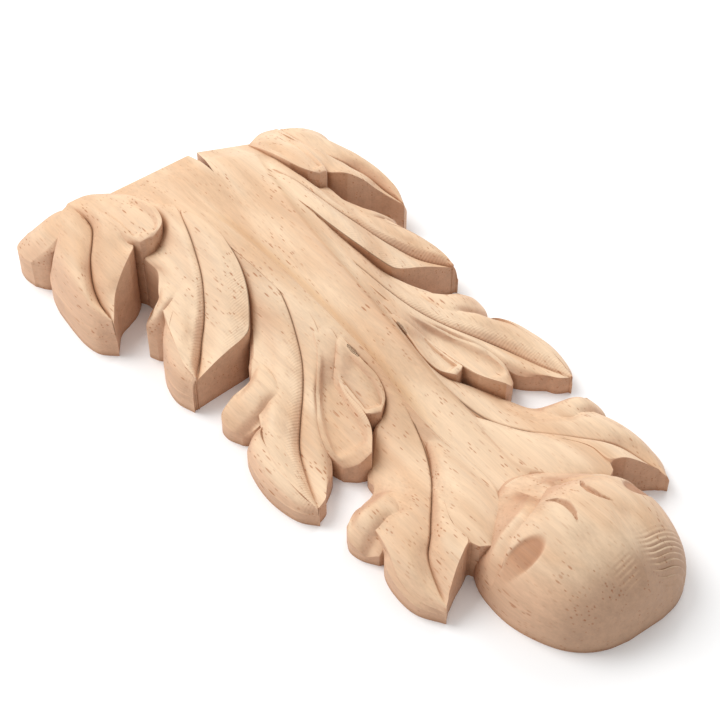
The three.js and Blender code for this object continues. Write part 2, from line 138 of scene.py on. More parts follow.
FIRST_INNER = dict(
    rails=[
        FIRST_CREASE,
        [(33, 88, 17.2), (32, 79, 19.4), (32.6, 72, 19.8), (34.3, 67, 19.4), (35.4, 62, 18.4),
         (37.9, 58.5, 17.2), (40.5, 55, 15.4), (42.5, 51, 12.6), (45, 44.5, 10.4)],
        [(32, 87, 17.6), (31, 78, 20), (30.8, 70.5, 20.5), (30.6, 65, 20.2), (29.9, 60, 18.7),
         (33.3, 55.4, 19.2), (37.2, 52.7, 17), (40.6, 50.4, 13.6), (44.9, 43.9, 10.4)],
    ],
    tuck=(1, 0),
)
FIRST_OUTER = dict(
    rails=[
        FIRST_CREASE,
        [(37.5, 86, 17.4), (37.4, 79.5, 18.6), (39.4, 75.2, 17.9), (41, 70, 17.1), (43, 65, 16.1),
         (44.6, 60.6, 15), (45.6, 56.2, 13.9), (45.8, 51.6, 12.4), (45, 44.6, 10.8)],
        [(41, 84, 16), (42, 78.5, 16), (45, 74.6, 14), (45.7, 69, 14.7), (46.3, 64, 14.6),
         (46.9, 59, 14), (47.1, 54.6, 13.2), (46.9, 50, 12.1), (45.2, 44.2, 10.4)],
        [(44, 82, 8), (46, 78.5, 6), (47.4, 75.5, 5.5), (48.9, 69, 6.4), (49.4, 63, 6.6),
         (49.7, 57, 6.4), (49.6, 52, 6), (48.4, 47, 5.6), (45, 43.6, 5)],
    ],
    tuck=(1, 0),
)
FIRST_EAR = dict(
    rails=[
        [(33.4, 88, 15.7), (36.4, 91.9, 13.8), (40.6, 92.9, 11.2), (44.4, 95, 8.4)],
        [(33.8, 85, 16.7), (38, 87.6, 16.4), (43.3, 89.8, 13), (48.6, 92.5, 7.6)],
        [(34, 81, 16.9), (38.8, 83, 17.4), (44.6, 84, 14.2), (49.8, 87.5, 7.6)],
        [(34.6, 78.5, 16.5), (39.4, 78, 17.4), (45, 78.8, 13.2), (49.2, 82.6, 8)],
    ],
    tuck=(0, 1),
)

# Second leaflet
SECOND_CREASE = [
    (14.8, 66, 22.7), (16.1, 59.3, 23.3), (18, 51.5, 22.1), (20, 44.8, 20), (22.4, 38.4, 18),
    (25.1, 33.1, 15.4), (28.2, 28.3, 12.7), (31.6, 24.1, 10), (35.5, 18.8, 8.3), (38.7, 14.6, 8.6),
]
SECOND_OUTER = dict(
    rails=[
        SECOND_CREASE,
        [(17.4, 71, 21.7), (18.5, 61.5, 22.9), (21.2, 53.8, 21.2), (24.4, 47.8, 19), (27, 42.5, 17.2),
         (29.8, 36.9, 15.3), (32.6, 30.5, 13.5), (35, 26.2, 12.2), (37.2, 19.9, 10.6), (38.6, 14.7, 9.2)],
        [(19.6, 77.5, 20.2), (20.2, 64, 21.6), (24.6, 57.4, 16.8), (28.3, 56.8, 15.6), (28.5, 50.2, 15.3),
         (32.2, 43.2, 13.8), (36, 31.6, 12.6), (37.7, 25.6, 12), (39, 20, 10.8), (38.8, 14.6, 9.8)],
    ],
    tuck=(1, 0.32),
    roll=0.5,
    valley=([(22.4, 58), (24.2, 52.5), (25.1, 46.8), (27, 41)], 0.9, 2.6),
)
SECOND_FLANK = dict(
    rails=[
        [(31, 37, 14.6), (36, 31.6, 12.6), (37.7, 25.6, 12), (39, 20, 10.8), (38.6, 14.9, 9.6)],
        [(34, 37, 11.6), (38, 31.5, 9.6), (39.8, 25.6, 9.4), (40.8, 19.5, 8.4), (39.8, 14.7, 7.6)],
        [(35, 36.4, 5), (38.8, 31, 4.6), (41, 25.6, 4.6), (41.8, 19.2, 4.6), (40.3, 14.2, 4.6)],
    ],
    tuck=(1, 0),
)
SECOND_EAR = dict(
    rails=[
        [(27, 48, 15.1), (30.6, 44.6, 14.7), (33.4, 41.8, 13.2), (36.8, 39.5, 12.4)],
        [(27, 42, 15.9), (31.5, 40, 15.2), (35.4, 38.4, 12.8), (38.6, 38.8, 9.4)],
        [(27, 38, 15.5), (31.4, 36, 14.2), (34.8, 34.8, 10.4), (37.6, 35.8, 6.6)],
    ],
    tuck=(0, 1),
    valley=([(27, 37.4), (29.6, 37.4), (32, 37.2), (36, 35.6)], 0.9, 1.1),
)
SECOND_INNER = dict(
    rails=[
        [(14.6, 62, 23.2), (16.8, 56, 23), (18.9, 48.5, 21.2), (21, 42, 19.1), (24, 35.5, 16.5),
         (28.2, 28.3, 12.7), (33.2, 21.8, 9.3), (39.2, 14.7, 8.4)],
        [(13, 58, 23.6), (14.9, 49, 23.7), (16.4, 42, 22.6), (18.2, 36.6, 20.9), (20.6, 31.2, 18.4),
         (23.6, 26.2, 15.6), (27.4, 20.6, 12.9), (31, 16.2, 11.3)],
        [(11.6, 54, 23.1), (12.6, 43, 22.8), (13.5, 36.4, 21.7), (15.2, 30, 20), (17, 25.6, 18.3),
         (19.4, 21.4, 15.9), (22, 18, 13.8), (24.5, 17.2, 12.9)],
    ],
    tuck=(1, 0),
)

# Third leaflet with its two small lobes beside the groove
THIRD_CREASE = [
    (9.2, 32, 21.6), (10.3, 23.4, 20), (11.9, 15.9, 17.8), (14.2, 8.8, 14.9), (17.1, 2.1, 12.2),
    (21.2, -4.1, 9.6), (25.9, -10, 7.4), (30.3, -16.1, 5.5), (34, -25, 4.6), (36.7, -32.6, 4.8),
]
THIRD_OUTER = dict(
    rails=[
        THIRD_CREASE,
        [(11, 36.4, 22.4), (12.4, 28, 20), (14.6, 20.4, 17.5), (17.2, 14, 14.7), (20.4, 8.2, 12.4),
         (25, 2.2, 10.4), (30.4, -5.6, 9.5), (34.2, -13.6, 8), (36.6, -23.6, 6.4), (36.9, -32.8, 5)],
        [(12.4, 41, 22.8), (14, 32.6, 19.8), (16.6, 25, 16.4), (19.8, 19.4, 13), (23.4, 13.6, 10.6),
         (27.4, 8.4, 9), (33, -4, 7.2), (37, -13, 7.5), (38.3, -23, 6.6), (37.1, -33, 5.2)],
    ],
    tuck=(1, 0.5),
    roll=0.35,
    valley=([(16.6, 26), (18.5, 19.1), (19.5, 14.6), (21.6, 9.6), (25.4, 4), (30, -1)], 1.0, 2.3),
)
THIRD_FLANK = dict(
    rails=[
        [(31, -4.6, 6.8), (35.6, -8, 7.6), (37.4, -15.8, 7.4),
         (38.3, -23, 6.6), (37.9, -29.6, 5.6), (36.8, -33, 5)],
        [(33.6, -3.6, 4.4), (38, -8, 5.8), (40.2, -16, 5.6),
         (40.6, -23, 5.2), (39.2, -29.8, 4.4), (36.9, -33.2, 4.2)],
        [(35, -3.4, 2.2), (39.2, -8, 3.2), (41.4, -16.2, 3.2),
         (41.5, -23.4, 3.2), (39.8, -30, 3.2), (37, -33.4, 3.2)],
    ],
    tuck=(1, 0),
)
THIRD_EAR = dict(
    rails=[
        [(22.5, 14.4, 9.5), (26, 9.4, 9.3), (29, 7.2, 8.6), (34, 6.6, 7.2)],
        [(23, 9, 10.3), (27.6, 5, 10.4), (32.4, 3.4, 8.8), (38, 5, 4.8)],
        [(23.5, 4, 10.3), (28, 0.4, 10.2), (33, -1, 7.8), (38.6, 1.4, 3.6)],
        [(24, -1, 9.3), (28.6, -3.6, 9.4), (33, -4.2, 6.8), (37, -2.4, 3.6)],
    ],
    tuck=(0, 1),
    valley=([(26, -1), (30, -2.4), (33, -3.4), (37, -3)], 1.2, 1.5),
)
THIRD_INNER = dict(
    rails=[
        [(9.2, 32, 21.4), (10.3, 23.4, 19.9), (11.9, 15.9, 17.8), (14.2, 8.8, 14.9), (17.1, 2.1, 12.2),
         (21.2, -4.1, 9.6), (25.9, -10, 7.4), (30.3, -16.1, 5.5), (34, -25, 4.6), (36.95, -32.9, 4.7)],
        [(8.9, 29, 21), (9.6, 20, 19.5), (10.6, 12, 17.8), (12.6, 5.4, 15.2), (15.7, -0.2, 12.8),
         (19.6, -6, 10.6), (23.6, -12.2, 9), (27.2, -19.4, 7), (30.8, -26.6, 5.6), (33.8, -31.4, 5.2)],
        [(8.4, 26, 20.6), (8.6, 17, 19.1), (9.6, 8, 17.4), (11.6, 2, 15), (14.8, -2.4, 12.2),
         (18.8, -6.4, 9.7), (22.4, -12.4, 8.4), (25, -20, 6), (28, -25.4, 4.4), (32.6, -29.4, 5.3)],
    ],
    tuck=(1, 0.6),
)
SPOON = dict(
    rails=[
        [(10.4, 8, 17.2), (13.4, 1, 14.2), (17.2, -4, 11.4), (20.5, -8.2, 9.4),
         (24.2, -14.8, 8.3), (26, -21, 6.2), (25, -25.6, 4.2)],
        [(8.8, 7, 17.6), (11, -1, 14.4), (14.4, -6, 11.1), (17, -11, 9.5),
         (19.4, -17, 8.4), (21, -22.4, 7.6), (22.6, -27.6, 5.8)],
        [(7.6, 5, 18), (8.8, -2, 15), (12.4, -6.4, 11.4), (13.5, -11, 10.4),
         (14.2, -18, 10.4), (15.8, -23.4, 9.7), (19.6, -28.8, 8.8)],
    ],
    tuck=(0.55, 0.65),
    dish=1.2,
)
EYE_LOBE = dict(
    rails=[
        [(6.9, 2, 16.9), (7.1, -3.6, 15.9), (6.9, -8.3, 14.8),
         (6.5, -13.3, 13.4), (7.9, -18, 11.4), (11, -20.8, 10.3)],
        [(8.8, 0, 16.4), (10, -5, 14.6), (10.2, -9.4, 13.2),
         (10.3, -13.6, 12.2), (11, -17.4, 11.2), (12.6, -20.2, 10.4)],
        [(10.6, -2, 14.6), (13.1, -6.2, 11), (13.4, -9.8, 10.4),
         (13.7, -13.4, 10.2), (13.9, -16.6, 10.2), (14.1, -19.2, 10.3)],
    ],
    tuck=(0, 1),
    dish=1.0,
)

# Fourth leaflet and the lobe that meets the curled tip
FOURTH_CREASE = [
    (5.3, -18, 12.6), (5.7, -23, 11.1), (6.8, -28, 9.2), (9.2, -35, 7.5), (13.4, -42.3, 7.4),
    (17, -46.9, 7.6), (20.7, -51.3, 7.9), (24.2, -55.5, 8), (27.3, -58.8, 7), (29.4, -64, 5.6),
    (31.1, -69.6, 4.6),
]
FOURTH_OUTER = dict(
    rails=[
        FOURTH_CREASE,
        [(5.6, -14.4, 13.6), (7, -20.6, 10.9), (10, -25.8, 8.6), (14.4, -31.6, 6.9), (18.6, -38.6, 6.8),
         (23.2, -43.6, 8), (26.4, -48.8, 9), (29.2, -54, 8.8), (31.6, -58.6, 7.6), (32.2, -64, 5.6),
         (31.3, -69.9, 4.4)],
        [(6.2, -12, 13.4), (8.3, -19.2, 10), (13.2, -22.4, 7), (19.8, -29.4, 3.8), (23.4, -34.8, 3.2),
         (29.6, -38.2, 4.4), (31.6, -47.6, 6.6), (33, -53, 6.8), (34.6, -58.4, 5.2), (34.4, -64, 3.8),
         (31.6, -70.2, 3.6)],
    ],
    tuck=(1, 0.32),
    valley=([(15.1, -28.1), (16.8, -34.7), (20, -40.9), (24.3, -44.8)], 0.8, 2.2),
)
FOURTH_FLANK = dict(
    rails=[
        [(29.6, -49.4, 8.2), (32.6, -53.2, 7), (34, -58.4, 5.6), (33.8, -64, 4.4), (31.4, -70, 3.9)],
        [(31.6, -49.8, 4.6), (34.2, -53.4, 4.6), (35.4, -58.4, 3.8), (35, -64.8, 2.8), (31.6, -70.2, 2.4)],
    ],
    tuck=(1, 0),
)
FOURTH_EAR = dict(
    rails=[
        [(22.4, -34, 2.3), (27, -37, 4), (30.8, -38, 4.6), (34.8, -40.6, 4.8)],
        [(21.6, -38.6, 5.9), (27, -40.8, 8), (31.4, -41.8, 7.6), (36, -43.4, 3.6)],
        [(22.4, -42.6, 6.7), (27, -45, 8.6), (31.4, -46, 7), (35.4, -46.8, 3.2)],
        [(24, -46.6, 6.9), (27.6, -48.6, 8.6), (30.6, -49.6, 6.2), (33.2, -50.2, 3.2)],
    ],
    tuck=(0, 1),
    valley=([(25, -45.4), (28.6, -46.6), (32, -47.4), (35, -48)], 1.1, 1.5),
)
FOURTH_INNER = dict(
    rails=[
        [(13.4, -42.3, 7.4), (17, -46.9, 7.6), (20.7, -51.3, 7.9), (24.2, -55.5, 8), (27.3, -58.8, 7),
         (29.4, -64, 5.6), (31.35, -69.8, 4.4)],
        [(13.6, -44.6, 8.2), (17.2, -49.4, 9.2), (20.4, -54.6, 10), (22.6, -58.6, 10.6), (25, -61.8, 9.8),
         (27.4, -65.4, 8), (30.2, -69, 5.6)],
        [(14, -46.4, 8.6), (17.4, -52, 9.8), (19.6, -57, 10.4), (19.9, -62.2, 10.5), (22.6, -64.3, 11),
         (25.8, -66, 9.3), (29.6, -68.5, 6.6)],
    ],
    tuck=(1, 0.5),
)
TIP_LOBE = dict(
    rails=[
        [(5, -32, 9.9), (4.2, -42, 9), (4, -50, 8.6), (5.9, -55.2, 9.2),
         (9.2, -60.4, 9.6), (13.4, -65, 9.6), (16, -66.4, 9.6)],
        [(7.4, -33, 8.2), (8.2, -40.4, 9.6), (9.4, -47.6, 10.3),
         (11.2, -54, 10.9), (13.4, -59, 11), (16, -63, 10.5), (17.4, -65.6, 9.9)],
        [(10, -37.4, 6.2), (13.4, -42.6, 7.3), (16.6, -49.6, 9.2),
         (19, -55.6, 10.2), (20, -59.6, 10.2), (19.8, -62.4, 10), (18.8, -64.8, 9.8)],
    ],
    tuck=(1, 0.7),
)

SIDE_SHEETS = [
    BUD, FIRST_INNER, FIRST_OUTER, FIRST_EAR,
    SECOND_OUTER, SECOND_FLANK, SECOND_EAR, SECOND_INNER,
    THIRD_OUTER, THIRD_FLANK, THIRD_EAR, THIRD_INNER, SPOON, EYE_LOBE,
    FOURTH_OUTER, FOURTH_FLANK, FOURTH_EAR, FOURTH_INNER, TIP_LOBE,
]

# Curled tip: half-round sections, each (half width, y, crown height)
BULB_STATIONS = [
    (6, -52, 7.4), (12.4, -55.5, 9.9), (17.2, -60, 11.9), (19.2, -64, 14.7), (20.8, -67.6, 17.6),
    (21.6, -72, 19.4), (BULB_HALF_WIDTH, -77.6, BULB_CROWN_Z), (20.2, -83, 18.7), (17.5, -88.4, 16.6),
    (14.2, -91.8, 13.8), (9.9, -94, 10), (4.8, BULB_TIP_Y, 5),
]

# Carved details of the curled tip
CHANNEL_HALF_WIDTH = 2.6
CHANNEL_FLOOR_Z = 8.6
CHANNEL_SLOPE = 1.2
CHANNEL_RISE_Y = -54
CHANNEL_RAMP = 0.44
LEDGE = [(0, -63.6), (6.2, -67.5), (10.3, -68.6), (14.3, -69.3), (19, -71.6)]
LEDGE_DROP = 1.7
LEDGE_RUN = 3.4
CRESCENT = [(5, -68), (3.6, -69.9), (3.2, -72.3), (3.7, -74.9), (5, -77.6)]
CRESCENT_DEPTH = 0.75
CRESCENT_WIDTH = 1.0
CRESCENT_WALL = (0.2, 1)
CRESCENT_ENDS = (0.02, 0.98)
CRESCENT_TAPER = 0.5
HOLLOW_CENTRE = (16, -74.2)
HOLLOW_RADII = (4.9, 3.1)
HOLLOW_TURN = 0.25
HOLLOW_DEPTH = 0.7
HOLLOW_RIM = (0.72, 1.02)
HOLLOW_FADE = (15.5, 20.5)
HOLLOW_FADE_SHARE = 0.7
CROWN_FRONT = (-76, -82)
CROWN_RIDGE = 0.9
CROWN_RIDGE_WIDTH = 2.4
FLUTE_AT = 5.5
FLUTE_WIDTH = 3
FLUTE_DEPTH = 0.9
LEAST_BULB_Z = 0.5

# Steps that the cutter left on the tip's front: a broad field on the right, and a weak strip on the left
TERRACE_PITCH = 0.9
TERRACE_STEP = 0.28
TERRACE_RIGHT_Y = (-84, -88)
TERRACE_RIGHT_X = (1, 6)
TERRACE_LEFT_Y = (-86, -89)
TERRACE_LEFT_RISE = (-6, -4)
TERRACE_LEFT_FALL = (-2, 0)
TERRACE_LEFT_SHARE = 0.35
TERRACE_DEEPER_Y = (-88, -92)
TERRACE_DEEPER = 1.2

# The V cut along each leaflet's crease, and the shares over which it sets in and runs out
LEAFLET_CREASES = [FIRST_CREASE, SECOND_CREASE, THIRD_CREASE, FOURTH_CREASE]
CREASE_DEPTH = 0.3
CREASE_WIDTH = 0.24
CREASE_ROOT = (0, 0.15)
CREASE_TIP = (0, 0.06)

# Where a dish falls away from its rim, in shares of the sheet from either side and from its ends
DISH_RIM = (0.09, 0.2)
DISH_ROOT = (0.12, 0.35)
DISH_TIP = (0.07, 0.17)

# A rounded roll beside the crease of a leaflet's outer half
ROLL_OFFSET = 1.7
ROLL_WIDTH = 1.1
ROLL_ROOT = (0.1, 0.35)
ROLL_TIP = (0, 0.15)

# Where a valley sets in along its path
VALLEY_ROOT = (0, 0.3)

# Slot beside the midrib groove, where two small lobes part. Its corners, as
# (share of the way between its ends, mm further along, share of its half width), run round it.
EYE_ENDS = [(7.3, -2.7), (7.0, -6.4)]
EYE_HALF_WIDTH = 0.6
EYE_FLOOR_Z = 12.6
EYE_CORNERS = [
    (0, -0.4, 0), (0, 0, 0.7), (0.5, 0, 1), (1, 0, 0.6),
    (1, 0.5, 0), (1, 0, -0.6), (0.5, 0, -1), (0, 0, -0.7),
]

# Points on a curve that distances are measured to
LINE_POINTS = 60
CREST_POINTS = 80

# Edges sharper than this are not smoothed over
SHARP_ANGLE = math.radians(38)

# Painted shade in the creases, as dark lines: (path, shares before its tip over which the line fades)
RIFTS = [
    (FIRST_CREASE, (0.02, 0.08)),
    (SECOND_CREASE, (0.02, 0.08)),
    (THIRD_CREASE, (0.02, 0.25)),
    (FOURTH_CREASE, (0.02, 0.25)),
    (SECOND_INNER["rails"][2], (0.02, 0.08)),
]
RIFT_NOWHERE = 9.0
RIFT_ROOT = (0.02, 0.2)
RIFT_END_LIFT = 0.5

# Marks of the cutter beside the creases: (path, reach in mm, share where they start)
HATCHED = [
    (SECOND_CREASE, 3.4, 0.3),
    (SECOND_INNER["rails"][2], 6.5, 0.3),
    (THIRD_CREASE, 4.2, 0.25),
    (EYE_LOBE["rails"][2], 3.2, 0.3),
]
HATCH_CORE = 0.45
HATCH_SETS_IN = 0.15

# Painted shade on the curled tip: in the crescents, the hollows, and a patch behind the ledge
CRESCENT_SHADE = 0.8
PATCH_SHADE = 0.55
PATCH_SIDE = ((2.2, 3.4), (4.5, 7))
PATCH_Y = ((-56, -60), (-63.5, -67))
SHADE_BELOW_Y = BULB_STATIONS[1][1]

# Painted shade on the tip's front, a darker band on the left wall of the groove, and painted shade as a faint
# line along its right crest
FRONT_Y = (-81, -91)
BAND = [(-10, 62), (-7.4, 47), (-5.4, 32), (-4.5, 18), (-3.7, 4), (-3.5, -10), (-3.8, -24), (-4, -40)]
BAND_WIDTH = 2.4
BAND_ROOT = (0, 0.15)
BAND_TIP = (0, 0.2)
CREST_LINE_EDGE = (0.1, 0.75)
CREST_LINE_Y = ((-36, -28), (72, 80))

# Colours of the wood, some of them painted shade on slopes, on walls and in the creases
CREAM = (0.775, 0.565, 0.38, 1)
TAN = (0.67, 0.435, 0.265, 1)
PINK_SLOPE_SHADE = (0.69, 0.43, 0.28, 1)
END_GRAIN_AND_WALL_SHADE = (0.56, 0.33, 0.21, 1)
PORE = (0.42, 0.16, 0.065, 1)
CREASE_SHADE = (0.15, 0.075, 0.03, 1)

# Tints that darken what lies under them: painted shade on the curled tip, its front, one crest and in the
# corners, and a darker band in the groove
TIP_HOLLOW_SHADE = (0.64, 0.46, 0.37, 1)
SHADED = (0.84, 0.87, 0.88, 1)
BROWN_BAND = (0.88, 0.8, 0.69, 1)
CREST_SHADE = (0.85, 0.81, 0.76, 1)
CORNER_SHADE = (0.6, 0.44, 0.32, 1)

# How often each pattern of the grain repeats per mm, across it, along it and through it
BROAD_GRAIN = (0.10, 0.016, 0.15)
FIBRE_GRAIN = (2.2, 0.09, 2.2)
STREAK_GRAIN = (0.55, 0.02, 0.55)
PATCH_GRAIN = (0.14, 0.05, 0.14)
WOBBLE_GRAIN = (0.5, 0.5, 0.5)

# Vessel lines: mm between them, radius as a share of that, and share of them that shows
LONG_VESSELS = ((0.9, 6.5, 0.9), 0.29, 0.5)
SHORT_VESSELS = ((0.6, 2.6, 0.6), 0.34, 0.4)
VESSEL_CORE = 0.45
VESSEL_FADE = 0.6

# Ranges of a value, from low to high, and what it becomes at each end where that isn't 0 and 1
END_GRAIN_FACING = (0.2, 0.75)
WALL_FACING = (0.1, 0.6, 1.0, 0.0)
SLOPE_FACING = (0.45, 0.95, 0.75, 0.0)
BROAD_RANGE = (0.35, 0.65)
FIBRE_SHADE = (0.3, 0.7, 0.94, 1.04)
STREAK_SHADE = (0.3, 0.7, -0.05, 0.04)
PATCH_RANGE = (0.42, 0.6, 0.25, 1.0)
BAND_STREAKS = (0.3, 0.65, 0.7, 1.0)
RIFT_RANGE = (0.04, 0.25, 1.0, 0.0)
CORNER_SHADE_RANGE = (0.35, 0.95, 0.75, 0.0)
ROUGHNESS_RANGE = (0.3, 0.7, 0.5, 0.68)

# How strongly each colour shows
END_GRAIN_SHARE = 0.85
WALL_SHADE_SHARE = 0.4
SHORT_VESSEL_SHARE = 0.85
VESSEL_SHARE = 0.8
CREASE_SHADE_SHARE = 0.7

# Painted shade in the corners, and relief of the surface, in mm
CORNER_SHADE_REACH = 2.2
CORNER_SHADE_SAMPLES = 8
CUTTER_PITCH = 0.68
CUTTER_WOBBLE = 0.5
CUTTER_HEIGHT = 0.037
FIBRE_HEIGHT = 0.06
VESSEL_DEPTH = 0.12
BUMP_STRENGTH = 0.6
WALL_HATCH = 0.35
WOOD_SPECULAR = 0.35

# Studio. Distances and sizes are in metres, and power is in watts.
FLOOR_RADIUS = 3
PAPER = (0.95, 0.95, 0.95, 1)
PAPER_ROUGHNESS = 0.9
PAPER_SPECULAR = 0.1
SKY_STRENGTH = 0.66
KEY = dict(toward=(-0.28, 0.56, 0.78), distance=0.8, size=0.55, power=4.5)
FILL = dict(toward=(0.75, 0.36, 0.56), distance=0.9, size=0.5, power=2.3)


def smooth_curve(stations, shares):
    """Points of a centripetal Catmull-Rom curve, at shares from 0 to 1 of its stations."""
    p = np.asarray(stations, float)
    p = np.vstack([2 * p[0] - p[1], p, 2 * p[-1] - p[-2]])
    place = np.clip(np.asarray(shares, float), 0, 1) * (len(p) - 3)
    i = np.minimum(place.astype(int), len(p) - 4)
    w = (place - i)[:, None]
    x0, x1, x2, x3 = p[i], p[i + 1], p[i + 2], p[i + 3]
    gaps = [np.linalg.norm(b - a, axis=1, keepdims=True) ** 0.5 for a, b in ((x0, x1), (x1, x2), (x2, x3))]
    d0, d1, d2 = [np.maximum(g, LEAST_GAP) for g in gaps]
    t1 = ((x1 - x0) / d0 - (x2 - x0) / (d0 + d1) + (x2 - x1) / d1) * d1
    t2 = ((x2 - x1) / d1 - (x3 - x1) / (d1 + d2) + (x3 - x2) / d2) * d1
    cubic = 2 * x1 - 2 * x2 + t1 + t2
    square = -3 * x1 + 3 * x2 - 2 * t1 - t2
    return x1 + w * (t1 + w * (square + w * cubic))


def fine_line(stations, count=LINE_POINTS):
    return smooth_curve(stations, np.linspace(0, 1, count))


def length_of(points):
    return np.linalg.norm(np.diff(points, axis=0), axis=1).sum()


def smooth_step(low, high, value):
    t = np.clip((value - low) / (high - low), 0, 1)
    return t * t * (3 - 2 * t)


def between(share, root, tip):
    """1 along the middle of a share from 0 to 1, easing in from the root and out towards the tip."""
    return smooth_step(*root, share) * smooth_step(*tip, 1 - share)


def window(value, rise, fall):
    """Rises from 0 to 1 over one range of a value, and falls back over the next."""
    return smooth_step(*rise, value) * (1 - smooth_step(*fall, value))


def nearest_on(path, x, y):
    """Distance in plan from each point to a path, how far along the path the nearest place is, and
    whether the point is on the outer side of a path that runs from the root to the tip."""
    best = np.full(np.shape(x), np.inf)
    share = np.zeros(np.shape(x))
    outer = np.zeros(np.shape(x), bool)
    a = np.asarray(path, float)[:, :2]
    for k in range(len(a) - 1):
        step = a[k + 1] - a[k]
        rx, ry = x - a[k, 0], y - a[k, 1]
        t = np.clip((rx * step[0] + ry * step[1]) / (step @ step), 0, 1)
        d = np.hypot(rx - t * step[0], ry - t * step[1])
        nearer = d < best
        best = np.where(nearer, d, best)
        share = np.where(nearer, (k + t) / (len(a) - 1), share)
        outer = np.where(nearer, step[0] * ry - step[1] * rx > 0, outer)
    return best, share, outer


def crowded(count):
    """Shares from 0 to 1 that lie closer together near both ends."""
    even = np.linspace(0, 1, count)
    return even - EDGE_CROWDING * np.sin(2 * np.pi * even)


def sheet_grid(rails):
    """Fine grid of points over matching rails, smooth along them and across them."""
    lines = np.array([fine_line(r, ROUGH_POINTS) for r in rails])
    along = int(np.ceil(max(length_of(line) for line in lines) / STEP_ALONG))
    across = int(np.ceil(max(length_of(lines[:, k]) for k in range(ROUGH_POINTS)) / STEP_ACROSS))
    lines = np.array([fine_line(r, along + 1) for r in rails])
    cross = crowded(across + 1)
    return np.array([smooth_curve(lines[:, k], cross) for k in range(along + 1)])


def with_relief(sheet, grid):
    """Dish, roll and valley that a leaflet's sheet has beside its plain rails."""
    along = np.linspace(0, 1, grid.shape[0])[:, None]
    across = crowded(grid.shape[1])[None, :]
    x, y = grid[..., 0], grid[..., 1]
    if "dish" in sheet:
        shape = between(across, DISH_RIM, DISH_RIM) * between(along, DISH_ROOT, DISH_TIP)
        grid[..., 2] -= sheet["dish"] * shape
    if "roll" in sheet:
        d = nearest_on(fine_line(sheet["rails"][0]), x, y)[0]
        shape = between(along, ROLL_ROOT, ROLL_TIP) * np.exp(-((d - ROLL_OFFSET) / ROLL_WIDTH) ** 2)
        grid[..., 2] += sheet["roll"] * shape
    if "valley" in sheet:
        path, depth, width = sheet["valley"]
        d, share, _ = nearest_on(path, x, y)
        grid[..., 2] -= depth * np.exp(-(d / width) ** 2) * smooth_step(*VALLEY_ROOT, share)
    return grid


def edge_column(edge, inner, reach):
    """An edge carried outwards and down. A share of 1 tucks it under its neighbour."""
    out = edge - inner
    out[:, 2] = 0
    out /= np.maximum(np.linalg.norm(out, axis=1, keepdims=True), LEAST_LENGTH)
    moved = edge + out * (TUCK_REACH * reach)[:, None]
    moved[:, 2] = np.maximum(edge[:, 2] - TUCK_DROP * reach, LEAST_TUCK_Z)
    return moved


def tuck_share(shares, tuck):
    """How far each row's edge is tucked: in full up to the share named, or to the tip, and then eased."""
    if tuck == 0:
        return np.full(len(shares), EASED_SHARE)
    start, end = TIP_FADE if tuck == 1 else (tuck, tuck + TUCK_FADE)
    return 1 + (EASED_SHARE - 1) * smooth_step(start, end, shares)


def with_edges(grid, tuck):
    """Tucked or eased sides, a tucked root and an eased tip. Roots short of the stem's end are sunk."""
    shares = np.linspace(0, 1, len(grid))
    first = edge_column(grid[:, 0].copy(), grid[:, 1], tuck_share(shares, tuck[0]))
    last = edge_column(grid[:, -1].copy(), grid[:, -2], tuck_share(shares, tuck[1]))
    grid = np.concatenate([first[:, None], grid, last[:, None]], axis=1)
    if grid[:, :, 1].max() < STEM_AXIS_Y:
        grid[..., 2] -= ROOT_SINK * (1 - smooth_step(0, ROOT_SHARE, shares))[:, None]
    tip = edge_column(grid[-1].copy(), grid[-2], np.full(grid.shape[1], EASED_SHARE))
    root = edge_column(grid[0].copy(), grid[1], np.full(grid.shape[1], 1.0))
    return np.concatenate([root[None], grid, tip[None]], axis=0)


def groove_grid():
    """The midrib groove, with a bed on either side that carries the roots of the leaflets."""
    shares = np.linspace(0, 1, int(LEAF_LENGTH * GROOVE_LENGTH_SHARE / STEP_ALONG))
    low = smooth_curve(GROOVE_FLOOR, shares)
    high = smooth_curve(GROOVE_CREST, shares)
    reach = BED_REACH_STEM + (BED_REACH_TIP - BED_REACH_STEM) * shares
    bend = 1 + (GROOVE_BEND - 1) * smooth_step(*GROOVE_BEND_SETS_IN, shares)
    columns = int(np.ceil(high[:, 0].max() / STEP_ACROSS / GROOVE_COARSENESS))
    sides = []
    for s in np.linspace(0, 1, columns + 1):
        rise = s ** bend
        sides.append(np.stack([high[:, 0] * s, low[:, 1] + (high[:, 1] - low[:, 1]) * s,
                               low[:, 2] + (high[:, 2] - low[:, 2]) * rise], axis=1))
    drop = np.interp(shares, [d[0] for d in BED_DROPS], [d[1] for d in BED_DROPS])
    bed = np.stack([high[:, 0] + reach, high[:, 1], np.maximum(high[:, 2] - drop, LEAST_BED_Z)], axis=1)
    sides.append(bed)
    mirror = np.array([-1, 1, 1])
    return np.stack([side * mirror for side in sides[:0:-1]] + sides, axis=1)


def crescent_share(side, y):
    """1 in the middle of the thin gouge beside the tip's axis, 0 outside it."""
    d, share, _ = nearest_on(CRESCENT, side, y)
    bow = np.sin(np.pi * np.clip(share, *CRESCENT_ENDS))
    return (1 - smooth_step(*CRESCENT_WALL, d / (CRESCENT_WIDTH * bow))) * bow ** CRESCENT_TAPER


def hollow_share(side, y):
    """1 in the middle of the thumb-shaped hollow on the tip's flank, 0 outside it."""
    dx, dy = side - HOLLOW_CENTRE[0], y - HOLLOW_CENTRE[1]
    along = dx * math.cos(HOLLOW_TURN) + dy * math.sin(HOLLOW_TURN)
    across = dy * math.cos(HOLLOW_TURN) - dx * math.sin(HOLLOW_TURN)
    r = np.hypot(along / HOLLOW_RADII[0], across / HOLLOW_RADII[1])
    return (1 - smooth_step(*HOLLOW_RIM, r)) * (1 - HOLLOW_FADE_SHARE * smooth_step(*HOLLOW_FADE, side))


